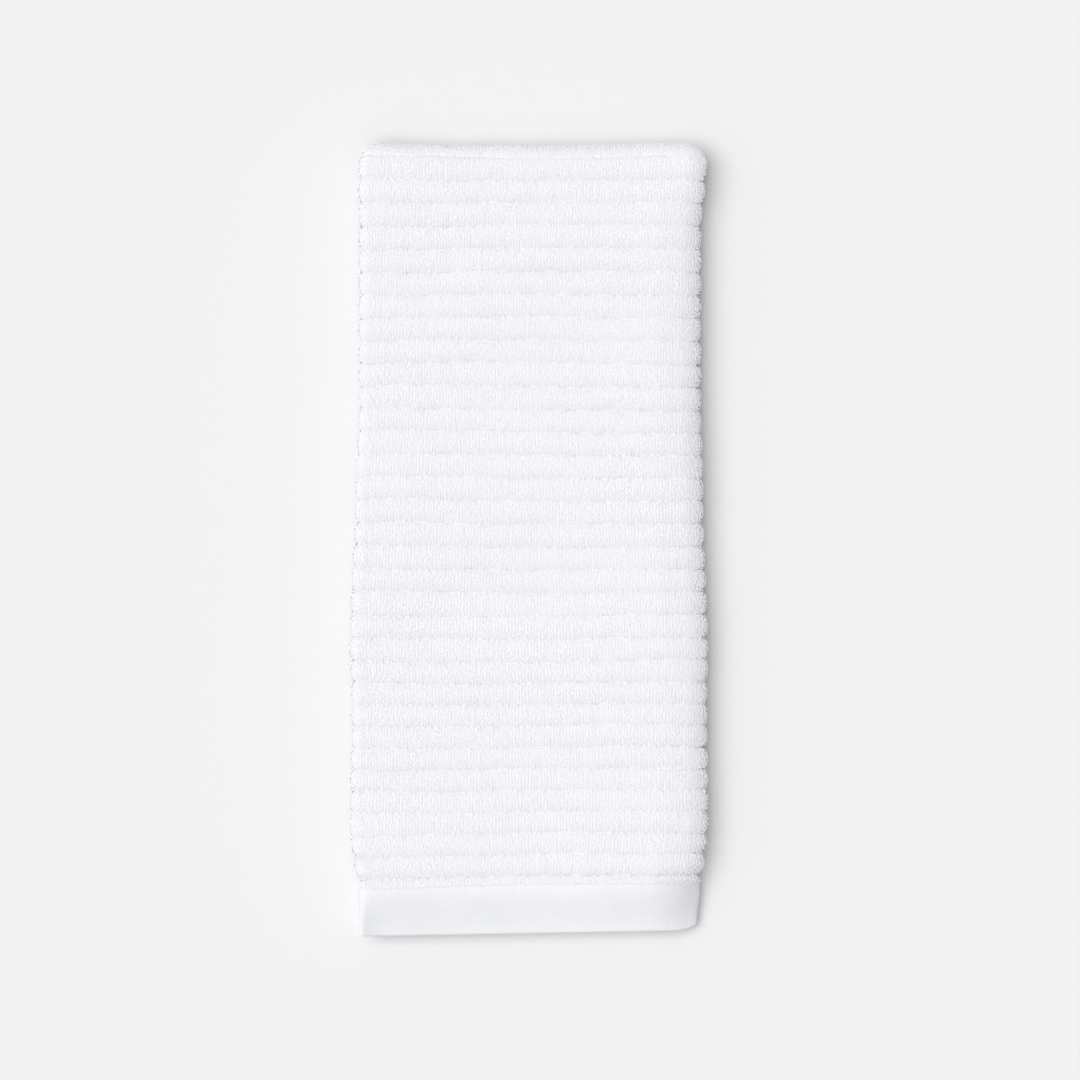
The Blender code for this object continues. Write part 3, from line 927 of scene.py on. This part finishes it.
def cotton_material(name, light, dark, finish):
    """White cotton: fibres everywhere, and a plain weave where the cloth is flat-woven."""
    material = bpy.data.materials.new(name)
    material.use_nodes = True
    tree = material.node_tree
    shader = tree.nodes["Principled BSDF"]
    shader.inputs["Roughness"].default_value = finish.roughness
    shader.inputs["Sheen Weight"].default_value = finish.sheen
    shader.inputs["Sheen Roughness"].default_value = 0.6
    shader.inputs["Specular IOR Level"].default_value = 0.15
    texture = tree.nodes.new("ShaderNodeTexCoord")

    fibres = place_group(tree, "cotton fibres", {})
    tree.links.new(texture.outputs["Object"], fibres.inputs["Vector"])
    tone = place_group(tree, "soft tone", {"Light": (*light, 1), "Dark": (*dark, 1)})
    tree.links.new(texture.outputs["Object"], tone.inputs["Vector"])
    tree.links.new(tone.outputs["Color"], shader.inputs["Base Color"])

    bump = tree.nodes.new("ShaderNodeBump")
    bump.inputs["Strength"].default_value = finish.bump_strength
    bump.inputs["Distance"].default_value = finish.bump_distance
    if finish.threads:
        weave = place_group(tree, "plain weave", {"Threads": finish.threads})
        tree.links.new(texture.outputs["UV"], weave.inputs["Vector"])
        fibre_part = math_node(tree, "MULTIPLY", fibres.outputs["Height"], 0.25)
        height = math_node(tree, "ADD", weave.outputs["Height"], fibre_part)
        tree.links.new(height, bump.inputs["Height"])
        tree.links.new(weave.outputs["Slub"], tone.inputs["Detail Tone"])
    else:
        tree.links.new(fibres.outputs["Height"], bump.inputs["Height"])
        tree.links.new(fibres.outputs["Tone"], tone.inputs["Detail Tone"])
    tree.links.new(bump.outputs["Normal"], shader.inputs["Normal"])
    return material


def towel_material(kind):
    """The towel's materials, made once: pile, ground under the pile and woven band."""
    made = bpy.data.materials.get(kind)
    if made:
        return made
    colours = bpy.context.scene.towel_cloth
    light, dark, finish = {
        "terry pile": (colours.pile_colour, colours.pile_shade, PILE_FINISH),
        "terry ground": (colours.ground_colour, colours.ground_colour, GROUND_FINISH),
        "woven band": (colours.band_colour, colours.band_shade, BAND_FINISH),
    }[kind]
    return cotton_material(kind, tuple(light), tuple(dark), finish)


def colour_setting(name, description, default):
    """A colour that the user can change."""
    return FloatVectorProperty(
        name=name, description=description, default=default, size=3, subtype="COLOR", min=0, max=1)


class TowelClothSettings(PropertyGroup):
    """Sizes and colours of the cloth and its pile."""

    rib_depth: FloatProperty(
        name="Rib Depth", description="How deep the grooves between the ribs are",
        default=1.9 * MM, min=0.0, max=3 * MM, unit="LENGTH")
    pile_height: FloatProperty(
        name="Pile Height", description="How far the loops stand off the ground cloth",
        default=0.7 * MM, min=0.2 * MM, max=1.4 * MM, unit="LENGTH")
    yarn_radius: FloatProperty(
        name="Yarn Radius", description="Half the thickness of the pile yarn",
        default=0.45 * MM, min=0.1 * MM, max=0.6 * MM, unit="LENGTH")
    loop_length: FloatProperty(
        name="Loop Length", description="Distance between the two feet of a loop",
        default=1.15 * MM, min=0.4 * MM, max=3 * MM, unit="LENGTH")
    line_spacing: FloatProperty(
        name="Line Spacing", description="Distance between the warp lines that carry loops",
        default=1.5 * MM, min=0.8 * MM, max=4 * MM, unit="LENGTH")
    loop_spacing: FloatProperty(
        name="Loop Spacing", description="Distance from loop to loop down a warp line",
        default=1.1 * MM, min=0.6 * MM, max=4 * MM, unit="LENGTH")
    underside_spacing: FloatProperty(
        name="Underside Spacing", description="How much wider the loops are set under the towel",
        default=1.4, min=1.0, max=3.0)
    pile_seed: IntProperty(
        name="Pile Seed", description="Start of the pile's random draws", default=21, min=0)
    pile_colour: colour_setting(
        "Pile Colour", "Light colour of the pile yarn", (0.884, 0.876, 0.912))
    pile_shade: colour_setting(
        "Pile Shade", "Dark colour of the pile yarn", (0.856, 0.848, 0.884))
    ground_colour: colour_setting(
        "Ground Colour", "Colour of the ground cloth between the loops", (0.868, 0.861, 0.897))
    band_colour: colour_setting(
        "Band Colour", "Light colour of the woven bands", (0.915, 0.922, 0.958))
    band_shade: colour_setting(
        "Band Shade", "Dark colour of the woven bands", (0.845, 0.852, 0.888))


class TowelStageSettings(PropertyGroup):
    """Floor, lights and camera."""

    floor_colour: colour_setting(
        "Floor Colour", "Colour of the plain floor", (0.84, 0.84, 0.84))
    key_strength: FloatProperty(
        name="Key Strength", description="Strength of the soft light from the left",
        default=1.90, min=0.0, max=20.0)
    key_width: FloatProperty(
        name="Key Width", description="Angle over which the soft light spreads",
        default=math.radians(58), min=0.0, max=math.pi, subtype="ANGLE")
    key_tilt: FloatProperty(
        name="Key Tilt", description="How far the soft light stands to the left of straight above",
        default=math.radians(20), min=0.0, max=math.pi / 2, subtype="ANGLE")
    key_lead: FloatProperty(
        name="Key Lead", description="How far the soft light stands towards the cross fold",
        default=math.radians(5), min=0.0, max=math.pi / 2, subtype="ANGLE")
    overhead_strength: FloatProperty(
        name="Overhead Strength", description="Strength of the light straight above the towel",
        default=0.20, min=0.0, max=20.0)
    room_strength: FloatProperty(
        name="Room Strength", description="Strength of the broad pale light around the others",
        default=0.505, min=0.0, max=20.0)
    camera_height: FloatProperty(
        name="Camera Height", description="Height of the camera above the floor",
        default=2.6, min=0.5, max=10.0, unit="LENGTH")
    view_width: FloatProperty(
        name="View Width", description="Width that the camera takes in at the towel",
        default=0.5184, min=0.1, max=3.0, unit="LENGTH")


def add_pile(name, stretches, wider, seeds):
    """The loops of one face, in a joined mesh for each stretch along the towel."""
    settings = bpy.context.scene.towel_cloth
    seat = seat_of_towel()
    line, step = settings.line_spacing / MM * wider, settings.loop_spacing / MM * wider
    for number, stretch in enumerate(zip(stretches, stretches[1:]), 1):
        seed = settings.pile_seed + seeds.grid + number
        across, along = loop_grid(PILE_RANGE, stretch, line, step, seed)
        seed = settings.pile_seed + seeds.loops + seeds.loop_step * number
        pile = pile_loops(f"{name}_{number}", across, along, settings, seat, seed)
        finish_piece(pile, towel_material("terry pile"))


class TOWEL_OT_add_cloth(Operator):
    """Add the folded sheet with its terry ground, woven bands, hems and selvedges"""

    bl_idname = "towel.add_cloth"
    bl_label = "Cloth"

    def execute(self, context):
        settings = context.scene.towel_cloth
        cloth = build_cloth(settings, seat_of_towel())
        finish_piece(cloth, towel_material("terry ground"), towel_material("woven band"))
        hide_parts(NODE)
        return {"FINISHED"}


class TOWEL_OT_add_upper_pile(Operator):
    """Add the pile loops of the upper face, its side folds and the cross fold"""

    bl_idname = "towel.add_upper_pile"
    bl_label = "Upper Pile"

    def execute(self, context):
        stretches = np.linspace(-2 * QUARTER_TURN, UPPER_TERRY_END, 5)
        add_pile("pile_upper", stretches, 1.0, UPPER_SEEDS)
        return {"FINISHED"}


class TOWEL_OT_add_lower_pile(Operator):
    """Add the pile loops of the lower face and its side folds, pressed by the floor"""

    bl_idname = "towel.add_lower_pile"
    bl_label = "Lower Pile"

    def execute(self, context):
        stretches = np.linspace(LOWER_TERRY_END, -2 * QUARTER_TURN, 3)
        add_pile("pile_lower", stretches, context.scene.towel_cloth.underside_spacing, LOWER_SEEDS)
        return {"FINISHED"}


class TOWEL_OT_add_stage(Operator):
    """Add the pale floor, the soft light and the camera straight above"""

    bl_idname = "towel.add_stage"
    bl_label = "Stage"

    def execute(self, context):
        settings = context.scene.towel_stage
        add_floor(settings)
        add_lights(settings)
        add_camera(settings)
        context.scene.view_settings.view_transform = "Standard"
        return {"FINISHED"}


def add_floor(settings):
    """A wide plain floor under the towel."""
    half = FLOOR_HALF
    corners = [(-half, -half, 0), (half, -half, 0), (half, half, 0), (-half, half, 0)]
    mesh = bpy.data.meshes.new("floor")
    mesh.from_pydata(corners, [], [(0, 1, 2, 3)])
    floor = bpy.data.objects.new("floor", mesh)
    bpy.context.scene.collection.objects.link(floor)
    material = bpy.data.materials.new("pale floor")
    material.use_nodes = True
    shader = material.node_tree.nodes["Principled BSDF"]
    shader.inputs["Base Color"].default_value = (*settings.floor_colour, 1)
    shader.inputs["Roughness"].default_value = 0.9
    shader.inputs["Specular IOR Level"].default_value = 0.1
    mesh.materials.append(material)


def add_sun(name, strength, width, tilt, lead):
    """A soft distant light, tilted to the left of straight above and led towards +Y."""
    light = bpy.data.lights.new(name, "SUN")
    light.energy = strength
    light.angle = width
    holder = bpy.data.objects.new(name, light)
    holder.rotation_euler = (-lead, -tilt, 0.0)
    holder.location = (-0.5, 0.2, 1.5)
    bpy.context.scene.collection.objects.link(holder)


def add_lights(settings):
    """A soft light from the left, one straight above, and a pale room that is darker on the right."""
    add_sun("soft light", settings.key_strength, settings.key_width,
            settings.key_tilt, settings.key_lead)
    add_sun("overhead light", settings.overhead_strength, OVERHEAD_WIDTH,
            OVERHEAD_TILT, OVERHEAD_LEAD)
    world = bpy.data.worlds.new("pale room")
    world.use_nodes = True
    tree = world.node_tree
    background = tree.nodes["Background"]
    background.inputs["Strength"].default_value = settings.room_strength
    texture = tree.nodes.new("ShaderNodeTexCoord")
    split = tree.nodes.new("ShaderNodeSeparateXYZ")
    ramp = tree.nodes.new("ShaderNodeValToRGB")
    low, high = ramp.color_ramp.elements
    low.position, low.color = 0.0, (ROOM_DARKEST, ROOM_DARKEST, ROOM_DARKEST, 1)
    high.position, high.color = ROOM_FULL_AT, (1.0, 1.0, 1.0, 1)
    tree.links.new(texture.outputs["Generated"], split.inputs[0])
    upwards = math_node(tree, "MULTIPLY", split.outputs["Z"], ROOM_UPWARDS)
    upwards = math_node(tree, "ADD", upwards, ROOM_LEVEL)
    leftwards = math_node(tree, "MULTIPLY", split.outputs["X"], ROOM_LEFTWARDS)
    tree.links.new(math_node(tree, "ADD", upwards, leftwards), ramp.inputs["Fac"])
    tree.links.new(ramp.outputs["Color"], background.inputs["Color"])
    bpy.context.scene.world = world


def add_camera(settings):
    """A long lens looking straight down, with the towel a little left of the middle."""
    middle_x, middle_y = 5.4 * MM, -0.5 * MM
    camera = bpy.data.cameras.new("camera")
    camera.lens = camera.sensor_width * settings.camera_height / settings.view_width
    camera.clip_end = 100.0
    holder = bpy.data.objects.new("camera", camera)
    towel_top = towel_box[1][2]
    holder.location = (middle_x, middle_y, settings.camera_height + towel_top)
    bpy.context.scene.collection.objects.link(holder)
    bpy.context.scene.camera = holder


class TOWEL_PT_panel(Panel):
    """Towel tools in the 3D view's sidebar"""

    bl_idname = "TOWEL_PT_panel"
    bl_label = "Hand Towel"
    bl_space_type = "VIEW_3D"
    bl_region_type = "UI"
    bl_category = "Towel"

    def draw(self, context):
        for operator in OPERATORS:
            self.layout.operator(operator.bl_idname)
        for settings in (context.scene.towel_cloth, context.scene.towel_stage):
            for name in settings.__annotations__:
                self.layout.prop(settings, name)


OPERATORS = (TOWEL_OT_add_stage, TOWEL_OT_add_cloth, TOWEL_OT_add_upper_pile, TOWEL_OT_add_lower_pile)
CLASSES = (TowelClothSettings, TowelStageSettings, *OPERATORS, TOWEL_PT_panel)


def register():
    """Register the classes and put their settings on the scene."""
    for item in CLASSES:
        bpy.utils.register_class(item)
    bpy.types.Scene.towel_cloth = PointerProperty(type=TowelClothSettings)
    bpy.types.Scene.towel_stage = PointerProperty(type=TowelStageSettings)


def unregister():
    """Take the settings and classes away again."""
    del bpy.types.Scene.towel_stage
    del bpy.types.Scene.towel_cloth
    for item in reversed(CLASSES):
        bpy.utils.unregister_class(item)


def main():
    """Make the stage and the towel."""
    register()
    bpy.ops.towel.add_stage()
    bpy.ops.towel.add_cloth()
    bpy.ops.towel.add_upper_pile()
    bpy.ops.towel.add_lower_pile()


if __name__ == "__main__":
    main()
